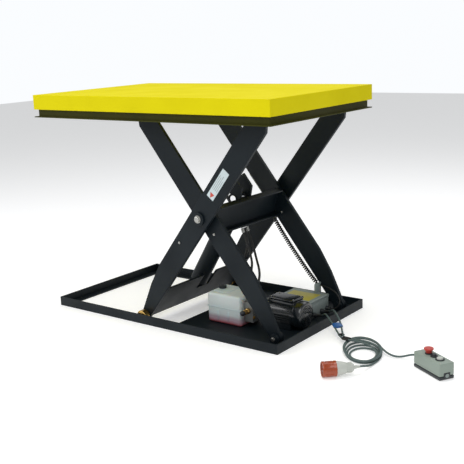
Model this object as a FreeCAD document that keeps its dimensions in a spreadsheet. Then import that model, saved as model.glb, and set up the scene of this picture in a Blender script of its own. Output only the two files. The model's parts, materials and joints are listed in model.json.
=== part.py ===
import FreeCAD, Part
import math
import os
import Sketcher

doc = FreeCAD.newDocument("scissor_lift_table")
V = FreeCAD.Vector

# Sizes in millimetres. The origin is on the floor at the middle of the base frame,
# X along the table towards the fixed pivots, Y across, Z up.
SIZES = [
    ("table_long", "1300"), ("table_wide", "770"), ("table_height", "1000"),
    ("table_shift", "5"), ("deck_thick", "4"), ("skirt_deep", "65"), ("skirt_thick", "4"),
    ("trip_deep", "35"), ("trip_inset", "15"), ("trip_thick", "4"),
    ("frame_long", "1254"), ("frame_wide", "686"), ("rail_high", "42"), ("rail_wide", "40"),
    ("rail_thick", "6"), ("fixing_x", "607"), ("fixing_y", "215"), ("fixing_hole_r", "7"),
    ("half_arm", "575"), ("pivot_offset", "24.4"), ("arm_wide", "96"), ("arm_thick", "16"),
    ("outer_arm_y", "294"), ("inner_arm_y", "250"), ("arm_end_r", "23.6"),
    ("pivot_low_z", "31.3"), ("pivot_drop", "33.3"), ("pivot_x", "561"),
    ("pin_r", "12.5"), ("running_gap", "0.05"), ("lug_thick", "12"), ("lug_r", "20"),
    ("roller_r", "25"), ("roller_wide", "28"), ("roller_gap", "4"), ("axle_r", "10"),
    ("ram_low_along", "-500"), ("ram_low_across", "-20"),
    ("ram_top_along", "-40"), ("ram_top_across", "10"),
    ("barrel_r", "40"), ("barrel_long", "355"), ("rod_r", "20"), ("ram_pin_r", "10"),
    ("ram_slot_long", "16"), ("ram_lug_y", "36"),
    ("brace_along", "-21.5"), ("brace_across", "39"), ("brace_turn", "50.7"),
    ("brace_deep", "123"), ("brace_thick", "8"), ("brace_lip", "34"),
    ("tank_x", "140"), ("tank_long", "185"), ("tank_wide", "145"), ("tank_high", "137"),
    ("motor_x", "400"), ("motor_y", "-55"), ("motor_z", "70"), ("motor_r", "57.5"),
    ("motor_long", "145"), ("fan_long", "37"),
    ("box_x", "340"), ("box_y", "60"), ("box_long", "185"), ("box_wide", "160"),
    ("box_high", "69"), ("lid_high", "10"), ("tray_top", "6"),
    ("pendant_long", "160"), ("pendant_wide", "64"), ("pendant_high", "14"),
    ("pendant_lid_high", "48"), ("pendant_x", "1209.5"), ("pendant_y", "-184"),
    ("pendant_turn", "-30"),
    ("cord_r", "4"), ("hose_r", "5.5"), ("curly_r", "9"), ("lead_r", "3"),
    ("coil_x", "891"), ("coil_y", "-140"), ("coil_turn", "-55"), ("coil_long", "145"),
    ("coil_wide", "80"), ("coil_high", "29"), ("coil_hole_long", "46"),
    ("coil_hole_wide", "42"), ("coil_hole_shift", "57"),
    ("plug_turn", "42.7"), ("plug_x", "888"), ("plug_y", "-439"), ("plug_z", "30"),
    ("pivot_top_z", "=table_height - pivot_drop"),
    ("pivot_angle", "=asin((pivot_top_z - pivot_low_z) / (2 * half_arm))"),
    ("arm_reach", "=sqrt(half_arm ^ 2 - pivot_offset ^ 2)"),
    ("arm_angle", "=pivot_angle - asin(pivot_offset / half_arm)"),
    ("centre_x", "=pivot_x - half_arm * cos(pivot_angle)"),
    ("centre_z", "=(pivot_low_z + pivot_top_z) / 2"),
    ("roller_x", "=pivot_x - 2 * half_arm * cos(pivot_angle)"),
    ("ram_low_x", "=centre_x + ram_low_along * cos(arm_angle) - ram_low_across * sin(arm_angle)"),
    ("ram_low_z", "=centre_z + ram_low_along * sin(arm_angle) + ram_low_across * cos(arm_angle)"),
    ("ram_top_x", "=centre_x + ram_top_along * cos(arm_angle) + ram_top_across * sin(arm_angle)"),
    ("ram_top_z", "=centre_z - ram_top_along * sin(arm_angle) + ram_top_across * cos(arm_angle)"),
    ("ram_long", "=sqrt((ram_top_x - ram_low_x) ^ 2 + (ram_top_z - ram_low_z) ^ 2)"),
    ("ram_angle", "=asin((ram_top_z - ram_low_z) / ram_long)"),
    ("under_deck", "=table_height - deck_thick"),
    ("skirt_low", "=table_height - skirt_deep"),
    ("table_left", "=table_shift - table_long / 2"),
    ("table_right", "=table_shift + table_long / 2"),
    ("roller_y_low", "=outer_arm_y + arm_thick / 2 + roller_gap"),
    ("roller_y_top", "=inner_arm_y + arm_thick / 2 + roller_gap - 1"),
]

sheet = doc.addObject("Spreadsheet::Sheet", "Sizes")
for row, (name, text) in enumerate(SIZES, start=1):
    sheet.set("A%d" % row, name)
    sheet.set("B%d" % row, text)
    sheet.setAlias("B%d" % row, name)
doc.recompute()

NODES = []
ALIASES = sorted((name for name, text in SIZES), key=len, reverse=True)


def full(text):
    """Writes a size expression with every sheet name given in full."""
    words = ""
    word = ""
    for letter in str(text) + " ":
        if letter.isalnum() or letter == "_":
            word += letter
            continue
        words += "Sizes." + word if word in ALIASES else word
        words += letter
        word = ""
    return words.strip()


def value(text):
    number = sheet.evalExpression(full(text))
    return float(getattr(number, "Value", number))


def bind(thing, prop, text):
    thing.setExpression(prop, full(text))


def put(thing, x=0, y=0, z=0, axis=None, angle=None):
    """Places a thing; each coordinate and the turn are bound to the sheet."""
    if axis is not None:
        thing.Placement = FreeCAD.Placement(V(), FreeCAD.Rotation(V(*axis), value(angle)))
        if abs(value(angle)) != 90:
            bind(thing, ".Placement.Rotation.Angle", angle)
    for name, text in (("x", x), ("y", y), ("z", z)):
        bind(thing, ".Placement.Base." + name, text)
    return thing


def box(x0, x1, y0, y1, z0, z1):
    thing = doc.addObject("Part::Box", "box")
    bind(thing, "Length", "(%s) - (%s)" % (x1, x0))
    bind(thing, "Width", "(%s) - (%s)" % (y1, y0))
    bind(thing, "Height", "(%s) - (%s)" % (z1, z0))
    return put(thing, x0, y0, z0)


TURNS = {"x": ((0, 1, 0), 90), "y": ((1, 0, 0), -90), "z": (None, None)}


def rod(axis, x, y, z, radius, length):
    """A cylinder that starts at the point and runs the way of the axis."""
    thing = doc.addObject("Part::Cylinder", "rod")
    bind(thing, "Radius", radius)
    bind(thing, "Height", length)
    turn, angle = TURNS[axis]
    return put(thing, x, y, z, turn, angle)


def across(x, z, radius, y0, y1):
    return rod("y", x, y0, z, radius, "(%s) - (%s)" % (y1, y0))


def fuse(things):
    thing = doc.addObject("Part::MultiFuse", "fuse")
    thing.Shapes = things
    return thing


def cut(base, tool):
    thing = doc.addObject("Part::Cut", "cut")
    thing.Base = base
    thing.Tool = tool
    return thing


def group(things):
    thing = doc.addObject("Part::Compound", "group")
    thing.Links = things
    return thing


def node(thing, name):
    thing.Label = name
    NODES.append(thing)
    return thing


def on_arm(thing, arm):
    """Places a thing drawn in arm axes on the outer or the inner arms."""
    axis = (0, -1, 0) if arm == "outer" else (0, 1, 0)
    return put(group([thing]), "centre_x", 0, "centre_z", axis, "arm_angle")


def body_plane(body, role):
    return [f for f in body.Origin.OriginFeatures if f.Role == role][0]


def outline(body, role, corners):
    """A closed sketch of straight lines, each corner held by two named sizes."""
    sketch = body.newObject("Sketcher::SketchObject", "outline")
    sketch.AttachmentSupport = [(body_plane(body, role), "")]
    sketch.MapMode = "FlatFace"
    points = [V(value(x), value(y), 0) for x, y in corners]
    count = len(points)
    for i in range(count):
        sketch.addGeometry(Part.LineSegment(points[i], points[(i + 1) % count]), False)
    for i in range(count):
        sketch.addConstraint(Sketcher.Constraint("Coincident", i, 2, (i + 1) % count, 1))
    for i, (x, y) in enumerate(corners):
        for kind, text in (("DistanceX", x), ("DistanceY", y)):
            size = value(text)
            if abs(size) < 1e-6:
                link = "PointOnObject"
                axis = -2 if kind == "DistanceX" else -1
                sketch.addConstraint(Sketcher.Constraint(link, i, 1, axis))
                continue
            at = sketch.addConstraint(Sketcher.Constraint(kind, -1, 1, i, 1, size))
            bind(sketch, "Constraints[%d]" % at, text)
    return sketch


def circles(body, role, rounds):
    sketch = body.newObject("Sketcher::SketchObject", "rounds")
    sketch.AttachmentSupport = [(body_plane(body, role), "")]
    sketch.MapMode = "FlatFace"
    for i, (x, y, radius) in enumerate(rounds):
        centre = V(value(x), value(y), 0)
        sketch.addGeometry(Part.Circle(centre, V(0, 0, 1), value(radius)), False)
        at = sketch.addConstraint(Sketcher.Constraint("Radius", i, value(radius)))
        bind(sketch, "Constraints[%d]" % at, radius)
        for kind, text in (("DistanceX", x), ("DistanceY", y)):
            if abs(value(text)) < 1e-6:
                axis = -2 if kind == "DistanceX" else -1
                sketch.addConstraint(Sketcher.Constraint("PointOnObject", i, 3, axis))
                continue
            at = sketch.addConstraint(Sketcher.Constraint(kind, -1, 1, i, 3, value(text)))
            bind(sketch, "Constraints[%d]" % at, text)
    return sketch


def raise_pad(body, sketch, length):
    pad = body.newObject("PartDesign::Pad", "pad")
    pad.Profile = sketch
    pad.SideType = "Symmetric"
    bind(pad, "Length", length)
    doc.recompute()
    return pad


def sink_holes(body, sketch, length):
    before = body.Shape.Volume
    hole = body.newObject("PartDesign::Pocket", "hole")
    hole.Profile = sketch
    hole.SideType = "Symmetric"
    bind(hole, "Length", length)
    doc.recompute()
    assert body.Shape.Volume < before - 1, "the holes removed nothing"
    return hole


def arm(side, way):
    """One arm in its own axes; way is -1 for the outer arm, 1 for the inner arm."""
    body = doc.addObject("PartDesign::Body", "arm")
    low = "%d * arm_reach" % way
    top = "%d * arm_reach" % -way
    along = lambda text: "%d * (%s)" % (-way, text)
    corners = [
        (top, "arm_wide / 2"), (along("-arm_reach * 0.557"), "arm_wide / 2"),
        (along("-arm_reach * 0.7485"), "arm_wide * 0.354"),
        (along("-arm_reach - 5.5"), "-1.5"), (low, "-pivot_offset"), (low, "-arm_wide / 2"),
        (along("arm_reach - 74.5"), "-arm_wide / 2"), (along("arm_reach + 12.2"), "4.3"),
        (top, "pivot_offset"),
    ]
    raise_pad(body, outline(body, "XZ_Plane", corners), "arm_thick")
    ends = [(low, "-pivot_offset", "arm_end_r"), (top, "pivot_offset", "arm_end_r")]
    raise_pad(body, circles(body, "XZ_Plane", ends), "arm_thick")
    bore = "pin_r + running_gap"
    holes = [(low, "-pivot_offset", bore), (top, "pivot_offset", bore), ("0", "0", bore)]
    sink_holes(body, circles(body, "XZ_Plane", holes), "arm_thick + 2")
    axis = (0, -1, 0) if way == -1 else (0, 1, 0)
    y = "outer_arm_y" if way == -1 else "inner_arm_y"
    return put(body, "centre_x", "%d * %s" % (side, y), "centre_z", axis, "arm_angle")


# Base frame
def base_rail(side):
    body = doc.addObject("PartDesign::Body", "rail")
    corners = [
        ("%d * frame_wide / 2" % side, "0"),
        ("%d * (frame_wide / 2 - rail_wide)" % side, "0"),
        ("%d * (frame_wide / 2 - rail_wide)" % side, "rail_thick"),
        ("%d * (frame_wide / 2 - rail_thick)" % side, "rail_thick"),
        ("%d * (frame_wide / 2 - rail_thick)" % side, "rail_high"),
        ("%d * frame_wide / 2" % side, "rail_high"),
    ]
    raise_pad(body, outline(body, "YZ_Plane", corners), "frame_long - 2 * rail_thick")
    return body


node(base_rail(-1), "base_rail_near")
node(base_rail(1), "base_rail_far")


def base_end(side):
    edge = "frame_long / 2"
    inner = "frame_long / 2 - rail_thick"
    leg = "frame_long / 2 - rail_wide"
    half = "frame_wide / 2"
    if side > 0:
        wall = box(inner, edge, "-" + half, half, 0, "rail_high")
        foot = box(leg, inner, "rail_wide - frame_wide / 2", "frame_wide / 2 - rail_wide",
                   0, "rail_thick")
    else:
        wall = box("-frame_long / 2", "rail_thick - frame_long / 2", "-" + half, half,
                   0, "rail_high")
        foot = box("rail_thick - frame_long / 2", "rail_wide - frame_long / 2",
                   "rail_wide - frame_wide / 2", "frame_wide / 2 - rail_wide", 0, "rail_thick")
    holes = [rod("z", "%d * fixing_x" % side, "%d * fixing_y" % way, "-1", "fixing_hole_r",
                 "rail_thick + 2") for way in (-1, 1)]
    return cut(fuse([wall, foot]), fuse(holes))


node(base_end(-1), "base_end_left")
node(base_end(1), "base_end_right")
node(box("tank_x - 93", "frame_long / 2 - rail_wide", "rail_wide - frame_wide / 2",
         "frame_wide / 2 - rail_wide", "tray_top - 4", "tray_top"), "power_tray")

# Clevis lugs and pins, low at the base and high under the deck
CLEVIS = [("inner_arm_y - arm_thick / 2 - 2 - lug_thick", "inner_arm_y - arm_thick / 2 - 2"),
          ("inner_arm_y + arm_thick / 2 + 2", "inner_arm_y + arm_thick / 2 + 2 + lug_thick")]
TOP_CLEVIS = [("outer_arm_y - arm_thick / 2 - 2 - lug_thick", "outer_arm_y - arm_thick / 2 - 2"),
              ("outer_arm_y + arm_thick / 2 + 2", "outer_arm_y + arm_thick / 2 + 2 + lug_thick")]


def lugs(pairs, z, root, cross):
    solids = []
    holes = []
    for side in (-1, 1):
        for y0, y1 in pairs:
            first, last = (y0, y1) if side > 0 else ("-(%s)" % y1, "-(%s)" % y0)
            solids.append(across("pivot_x", z, "lug_r", first, last))
            low, high = (root, z) if value(root) < value(z) else (z, root)
            solids.append(box("pivot_x - lug_r", "pivot_x + lug_r", first, last, low, high))
            holes.append(across("pivot_x", z, "pin_r + running_gap",
                                "%s - 1" % first, "%s + 1" % last))
    return cut(fuse(solids + cross), fuse(holes))


foot_bar = box("pivot_x - lug_r", "pivot_x + lug_r + 4", "-(%s)" % CLEVIS[1][1], CLEVIS[1][1],
               "tray_top", "tray_top + 1.2")
node(lugs(CLEVIS, "pivot_low_z", "tray_top", [foot_bar]), "base_pivot_lugs")


def pins(pairs, z):
    solids = []
    for side in (-1, 1):
        inner = "%d * (%s)" % (side, pairs[0][0])
        outer = "%d * (%s)" % (side, pairs[1][1])
        low, high = (inner, outer) if side > 0 else (outer, inner)
        solids.append(across("pivot_x", z, "pin_r", "%s - 3" % low, "%s + 3" % high))
        solids.append(across("pivot_x", z, "pin_r + 4", "%s - 4" % low, low))
        solids.append(across("pivot_x", z, "pin_r + 4", high, "%s + 4" % high))
    return fuse(solids)


node(pins(CLEVIS, "pivot_low_z"), "base_pivot_pins")
hang_bar = box("pivot_x - lug_r", "pivot_x + lug_r", "-(%s)" % TOP_CLEVIS[1][1],
               TOP_CLEVIS[1][1], "under_deck - 5", "under_deck")
node(lugs(TOP_CLEVIS, "pivot_top_z", "under_deck", [hang_bar]), "top_pivot_lugs")
node(pins(TOP_CLEVIS, "pivot_top_z"), "top_pivot_pins")

# Arms, centre pins and cross members
node(arm(-1, 1), "inner_arm_near")
node(arm(1, 1), "inner_arm_far")
node(arm(-1, -1), "outer_arm_near")
node(arm(1, -1), "outer_arm_far")

INNER_FACE = "inner_arm_y - arm_thick / 2"
OUTER_FACE = "outer_arm_y + arm_thick / 2"
centre = []
for low, high, head in (("-(%s) - 6" % OUTER_FACE, "-(%s)" % INNER_FACE, -1),
                        (INNER_FACE, OUTER_FACE + " + 6", 1)):
    centre.append(across("0", "0", "pin_r", low, high))
    cap_low = "-(%s) - 9" % OUTER_FACE if head < 0 else OUTER_FACE + " + 1"
    cap_high = "-(%s) - 1" % OUTER_FACE if head < 0 else OUTER_FACE + " + 9"
    centre.append(across("0", "0", "28", cap_low, cap_high))
    space_low = "-outer_arm_y + arm_thick / 2 + 1" if head < 0 else "inner_arm_y + arm_thick / 2"
    space_high = "-inner_arm_y - arm_thick / 2" if head < 0 else "outer_arm_y - arm_thick / 2 - 1"
    centre.append(across("0", "0", "22", space_low, space_high))
node(on_arm(fuse(centre), "inner"), "centre_pins")



def on_brace(thing):
    """Places a thing drawn along the brace plate, in the inner arms' axes."""
    return put(group([thing]), "brace_along", 0, "brace_across", (0, 1, 0), "brace_turn")


web = box("0", "brace_deep", "-(%s)" % INNER_FACE, INNER_FACE, "0", "brace_thick")
lip_low = box("brace_deep - brace_thick", "brace_deep", "-(%s)" % INNER_FACE, INNER_FACE,
              "brace_thick", "brace_lip")
lip_high = box("0", "brace_thick", "-(%s)" % INNER_FACE, INNER_FACE, "brace_thick", "brace_lip")
hose_clip = box("brace_deep", "brace_deep + 9", "-32", "26", "2", "24")
node(on_arm(on_brace(fuse([web, lip_low, lip_high, hose_clip])), "inner"),
     "centre_cross_member")

bracket = []
slots = []
for low, high in (("-ram_lug_y - 6", "-ram_lug_y + 6"), ("ram_lug_y - 6", "ram_lug_y + 6")):
    bracket.append(box("ram_top_along - 26", "ram_top_along + 72", low, high, "-24",
                       "ram_top_across + 22"))
    bracket.append(box("ram_top_along - 78", "ram_top_along + 26", low, high, "8", "74"))
    slots.append(box("ram_top_along", "ram_top_along + ram_slot_long", low + " - 1",
                     high + " + 1", "ram_top_across - ram_pin_r - 6",
                     "ram_top_across + ram_pin_r + 1.8"))
    for shift in ("0", "ram_slot_long"):
        slots.append(across("ram_top_along + " + shift, "ram_top_across - 2.1",
                            "ram_pin_r + 3.9", low + " - 1", high + " + 1"))
slots.append(on_brace(box("-99", "brace_deep + 99", "-99", "99", "0", "199")))
node(on_arm(cut(fuse(bracket), fuse(slots)), "inner"), "rod_bracket")

axles = []
for side in (-1, 1):
    inner = "%d * (inner_arm_y - arm_thick / 2)" % side
    outer = "%d * (roller_y_top + roller_wide - 5)" % side
    low, high = (inner, outer) if side > 0 else (outer, inner)
    axles.append(across("-arm_reach", "pivot_offset", "axle_r", low, high))
    low = "inner_arm_y - arm_thick / 2" if side > 0 else "-inner_arm_y - arm_thick / 2 - 1"
    high = "inner_arm_y + arm_thick / 2 + 1" if side > 0 else "-inner_arm_y + arm_thick / 2"
    axles.append(across("-arm_reach", "pivot_offset", "pin_r", low, high))
node(on_arm(fuse(axles), "inner"), "upper_roller_axles")

axles = []
for side in (-1, 1):
    inner = "%d * (outer_arm_y - arm_thick / 2)" % side
    outer = "%d * (roller_y_low + roller_wide + 2)" % side
    low, high = (inner, outer) if side > 0 else (outer, inner)
    axles.append(across("-arm_reach", "-pivot_offset", "axle_r", low, high))
    low = "outer_arm_y - arm_thick / 2" if side > 0 else "-outer_arm_y - arm_thick / 2 - 1"
    high = "outer_arm_y + arm_thick / 2 + 1" if side > 0 else "-outer_arm_y + arm_thick / 2"
    axles.append(across("-arm_reach", "-pivot_offset", "pin_r", low, high))
node(on_arm(fuse(axles), "outer"), "lower_roller_axles")


def roller(side, x, z, start, wide):
    low = start if side > 0 else "-(%s) - (%s)" % (start, wide)
    high = "%s + (%s)" % (start, wide) if side > 0 else "-(%s)" % start
    tyre = across(x, z, "roller_r", low, high)
    bore = across(x, z, "axle_r + running_gap", low + " - 1", high + " + 1")
    return cut(tyre, bore)


node(roller(-1, "roller_x", "pivot_low_z", "roller_y_low", "roller_wide"), "lower_roller_near")
node(roller(1, "roller_x", "pivot_low_z", "roller_y_low", "roller_wide"), "lower_roller_far")
node(roller(-1, "roller_x", "pivot_top_z", "roller_y_top", "roller_wide - 7"),
     "upper_roller_near")
node(roller(1, "roller_x", "pivot_top_z", "roller_y_top", "roller_wide - 7"),
     "upper_roller_far")

outer_inside = "outer_arm_y - arm_thick / 2"
strip = cut(box("-562", "-385", "-(%s)" % outer_inside, outer_inside, "-arm_wide / 2",
                "-arm_wide / 2 + 8"),
            box("ram_low_along + 26", "-380", "-barrel_r - 4", "barrel_r + 4",
                "-arm_wide / 2 - 1", "-arm_wide / 2 + 9"))
ram_lugs = []
ram_holes = []
for low, high in (("-ram_lug_y - 6", "-ram_lug_y + 6"), ("ram_lug_y - 6", "ram_lug_y + 6")):
    ram_lugs.append(box("ram_low_along - 22", "ram_low_along + 22", low, high,
                        "-arm_wide / 2 + 4", "ram_low_across"))
    ram_lugs.append(across("ram_low_along", "ram_low_across", "22", low, high))
    ram_holes.append(across("ram_low_along", "ram_low_across", "ram_pin_r + running_gap",
                            low + " - 1", high + " + 1"))
node(on_arm(cut(fuse([strip] + ram_lugs), fuse(ram_holes)), "outer"), "lower_cross_plate")
lower_pin = fuse([
    across("ram_low_along", "ram_low_across", "ram_pin_r", "-ram_lug_y - 9", "ram_lug_y + 9"),
    across("ram_low_along", "ram_low_across", "ram_pin_r + 4", "ram_lug_y + 6", "ram_lug_y + 10"),
    across("ram_low_along", "ram_low_across", "ram_pin_r + 4", "-ram_lug_y - 10",
           "-ram_lug_y - 6")])
node(on_arm(lower_pin, "outer"), "cylinder_pin")


# Lifting cylinder, drawn along X from its lower pin
def on_ram(thing):
    return put(group([thing]), "ram_low_x", 0, "ram_low_z", (0, -1, 0), "ram_angle")


EYE = "ram_lug_y - 8"
barrel = cut(fuse([across("0", "0", "20", "-(%s)" % EYE, EYE),
                   box("0", "48", "-(%s)" % EYE, EYE, "-18", "18"),
                   rod("x", "40", 0, 0, "barrel_r", "barrel_long - 40"),
                   rod("z", "225", 0, "-barrel_r - 14", "9", "30")]),
             fuse([across("0", "0", "ram_pin_r + running_gap", "-60", "60"),
                   rod("x", "70", 0, 0, "rod_r + 8", "barrel_long - 60")]))
node(on_ram(barrel), "cylinder_barrel")
gland = cut(fuse([rod("x", "barrel_long", 0, 0, "barrel_r - 3", "14"),
                  rod("x", "barrel_long - 20", 0, 0, "rod_r + 7.9", "20")]),
            rod("x", "barrel_long - 21", 0, 0, "rod_r + running_gap", "40"))
node(on_ram(gland), "cylinder_gland")
EYE_TOP = "ram_lug_y - 9"
ram_rod = fuse([cut(fuse([rod("x", "ram_long - 370", 0, 0, "rod_r", "350"),
                          across("ram_long", "0", "20", "-(%s)" % EYE_TOP, EYE_TOP)]),
                    across("ram_long", "0", "ram_pin_r", "-60", "60")),
                across("ram_long", "0", "ram_pin_r", "-ram_lug_y - 9", "ram_lug_y + 9"),
                across("ram_long", "0", "ram_pin_r + 5", "ram_lug_y + 7", "ram_lug_y + 11"),
                across("ram_long", "0", "ram_pin_r + 5", "-ram_lug_y - 11", "-ram_lug_y - 7")])
node(on_ram(ram_rod), "cylinder_rod")

# Platform
half_wide = "table_wide / 2"
deck_shell = box("table_left", "table_right", "-" + half_wide, half_wide, "skirt_low",
                 "table_height")
deck_space = box("table_left + skirt_thick", "table_right - skirt_thick",
                 "skirt_thick - " + half_wide, half_wide + " - skirt_thick",
                 "skirt_low - 1", "under_deck")
node(cut(deck_shell, deck_space), "platform_deck")

rails = []
for side in (-1, 1):
    low = "%d * (inner_arm_y + arm_thick / 2 + 2)" % side
    high = "%d * (inner_arm_y + arm_thick / 2 + 2 + 42)" % side
    first, last = (low, high) if side > 0 else (high, low)
    rails.append(box("table_left + 22", "roller_x + 60", first, last, "under_deck - 4",
                     "under_deck"))
    wall = "%d * (inner_arm_y + arm_thick / 2 + 2 + 42)" % side
    stop = "%d * (inner_arm_y + arm_thick / 2 + 2 + 46)" % side
    first, last = (wall, stop) if side > 0 else (stop, wall)
    rails.append(box("table_left + 22", "roller_x + 60", first, last, "under_deck - 20",
                     "under_deck"))
node(fuse(rails), "top_rails")

trip_inner = "table_wide / 2 - trip_inset - trip_thick"
bars = []
for side in (-1, 1):
    body = doc.addObject("PartDesign::Body", "trip")
    lip = "%d * (table_wide / 2)" % side
    face = "%d * (table_wide / 2 - trip_inset)" % side
    back = "%d * (%s)" % (side, trip_inner)
    top = "skirt_low - 1"
    low = "skirt_low - trip_deep"
    corners = [(lip, low), (lip, low + " + trip_thick"), (face, low + " + trip_thick"),
               (face, top), (back, top), (back, low)]
    raise_pad(body, outline(body, "YZ_Plane", corners), "table_long")
    put(body, "table_shift", 0, 0)
    bars.append(body)
    for sx in (-1, 1):
        x = "table_shift + %d * (table_long / 2 - 120)" % sx
        reach = "%d * (table_wide / 2 - 42)" % side
        first, last = (reach, back) if side > 0 else (back, reach)
        bars.append(box(x + " - 16", x + " + 16", first, last, "skirt_low - 6", "skirt_low - 2"))
web_end = "table_long / 2 - trip_inset"
half_wide = "table_wide / 2 + 1"
corners = [box("table_shift + " + web_end, "table_right + 1", "-(%s)" % half_wide, half_wide,
               "skirt_low - trip_deep + trip_thick", "skirt_low"),
           box("table_left - 1", "table_shift - (%s)" % web_end, "-(%s)" % half_wide, half_wide,
               "skirt_low - trip_deep + trip_thick", "skirt_low")]
node(group([cut(fuse(bars[:3]), fuse(corners)), cut(fuse(bars[3:]), fuse(corners))]),
     "trip_bars_long")

bars = []
for side in (-1, 1):
    edge = "table_shift + %d * table_long / 2" % side
    face = "table_shift + %d * (table_long / 2 - trip_inset)" % side
    back = "table_shift + %d * (table_long / 2 - trip_inset - trip_thick)" % side
    first, last = (back, face) if side > 0 else (face, back)
    wall = box(first, last, "-(%s)" % trip_inner, trip_inner, "skirt_low - trip_deep",
               "skirt_low - 1")
    first, last = (face, edge) if side > 0 else (edge, face)
    lip = box(first, last, "-(%s)" % trip_inner, trip_inner, "skirt_low - trip_deep",
              "skirt_low - trip_deep + trip_thick")
    bars.append(fuse([wall, lip]))
node(group(bars), "trip_bars_short")

switches = []
for sx in (-1, 1):
    for sy in (-1, 1):
        x = "table_shift + %d * (table_long / 2 - 120)" % sx
        y = "%d * (table_wide / 2 - 30)" % sy
        switches.append(box(x + " - 20", x + " + 20", y + " - 9", y + " + 9",
                            "under_deck - 24", "under_deck"))
        switches.append(rod("z", x, y, "skirt_low + 14", "4", "under_deck - 24 - skirt_low - 14"))
node(group([fuse(switches[i:i + 2]) for i in range(0, len(switches), 2)]), "trip_switches")
# Power pack
tank_end = "tank_x + tank_long"
node(box("tank_x", tank_end, "-30 - tank_wide", "-30", "tray_top", "tray_top + tank_high"),
     "oil_tank")
node(rod("z", "tank_x + 35", "-100", "tray_top + tank_high", "17", "14"), "tank_cap")
node(fuse([box(tank_end, "motor_x - 28", "-150", "-62", "30", "118"),
           rod("x", tank_end, "motor_y", "motor_z", "44", "motor_x - 8 - tank_x - tank_long"),
           rod("x", "motor_x - 8", "motor_y", "motor_z", "motor_r - 4", "8")]), "valve_block")
node(fuse([rod("y", "tank_x + 208", "-190", "80", "12", "40"),
           rod("y", "tank_x + 208", "-202", "80", "8", "12")]), "solenoid_valve")
node(group([fuse([rod("z", x, y, "118", "9", "22"), rod("z", x, y, "118", "12", "9")])
            for x, y in (("tank_x + 198", "-132"), ("tank_x + 216", "-96"))]), "hose_fittings")
node(fuse([rod("x", "motor_x", "motor_y", "motor_z", "motor_r", "motor_long"),
           box("motor_x + 25", "motor_x + 115", "motor_y - 48", "motor_y + 48", "tray_top",
               "motor_z - 30")]), "motor_body")
node(rod("x", "motor_x + motor_long", "motor_y", "motor_z", "motor_r + 1.5", "fan_long"),
     "fan_cover")
node(cut(box("motor_x + 12", "motor_x + 140", "motor_y - 34", "motor_y + 46", "motor_z + 36",
             "motor_z + 70"),
         rod("x", "motor_x", "motor_y", "motor_z", "motor_r", "motor_long")),
     "motor_terminal_box")

box_end = "box_x + box_long"
node(box("box_x", box_end, "box_y", "box_y + box_wide", "tray_top", "tray_top + box_high"),
     "control_box")
lid_low = "tray_top + box_high"
lid_top = "tray_top + box_high + lid_high"
node(fuse([box("box_x - 1", box_end + " + 1", "box_y - 1", "box_y + box_wide + 1", lid_low,
               lid_top),
           box("box_x + 126", "box_x + 132", "box_y + box_wide - 30", "inner_arm_y - 9",
               lid_top, lid_top + " + 42")]), "control_box_lid")
GLANDS = [("87", "cord_r"), ("150", "cord_r"), ("195", "lead_r")]
glands = []
for y, radius in GLANDS:
    glands.append(cut(fuse([rod("x", box_end, y, "24", "11", "8"),
                            rod("x", box_end + " + 8", y, "24", "8", "12")]),
                      rod("x", box_end + " - 1", y, "24", radius + " + 0.3", "24")))
node(group(glands), "cable_glands")
cord_clip = box("brace_deep", "brace_deep + 10", INNER_FACE + " - 24", INNER_FACE, "2", "26")
node(on_arm(on_brace(cord_clip), "inner"), "cord_clip")


# Pendant, drawn about its own middle and then turned on the floor
def on_pendant(thing):
    return put(group([thing]), "pendant_x", "pendant_y", 0, (0, 0, 1), "pendant_turn")


half_long = "pendant_long / 2"
node(on_pendant(box("-" + half_long, half_long, "-pendant_wide / 2", "pendant_wide / 2", 0,
                    "pendant_high")), "pendant_base")
BUTTONS = [("-30", "9", "stop"), ("3", "9", "raise"), ("38", "12", "lower")]
lid = box("-" + half_long, half_long, "-pendant_wide / 2", "pendant_wide / 2", "pendant_high",
          "pendant_high + pendant_lid_high")
cover_top = "pendant_high + pendant_lid_high"
wells = [rod("z", x, 0, cover_top + " - 18", radius + " + 0.4", "20")
         for x, radius, kind in BUTTONS]
cord_way = rod("x", "-20 - pendant_long / 2", 0, "28", "cord_r + 0.3", "40")
neck = rod("x", "-18 - pendant_long / 2", 0, "28", "9", "19")
node(on_pendant(cut(fuse([lid, neck]), fuse(wells + [cord_way]))), "pendant_lid")
collars = [cut(rod("z", x, 0, cover_top, radius + " + 5", "4"),
               rod("z", x, 0, cover_top + " - 1", radius + " + 0.4", "6"))
           for x, radius, kind in BUTTONS]
node(on_pendant(group(collars)), "button_collars")
node(on_pendant(fuse([rod("z", "-30", 0, cover_top + " - 12", "9", "24"),
                      rod("z", "-30", 0, cover_top + " + 9", "18", "14")])), "estop_button")
node(on_pendant(rod("z", "3", 0, cover_top + " - 12", "9", "22")), "raise_button")
node(on_pendant(rod("z", "38", 0, cover_top + " - 12", "12", "21")), "lower_button")


# Plug on the floor, drawn along X from its open end
def on_plug(thing):
    return put(group([thing]), "plug_x", "plug_y", "plug_z", (0, 0, 1), "plug_turn")


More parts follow.
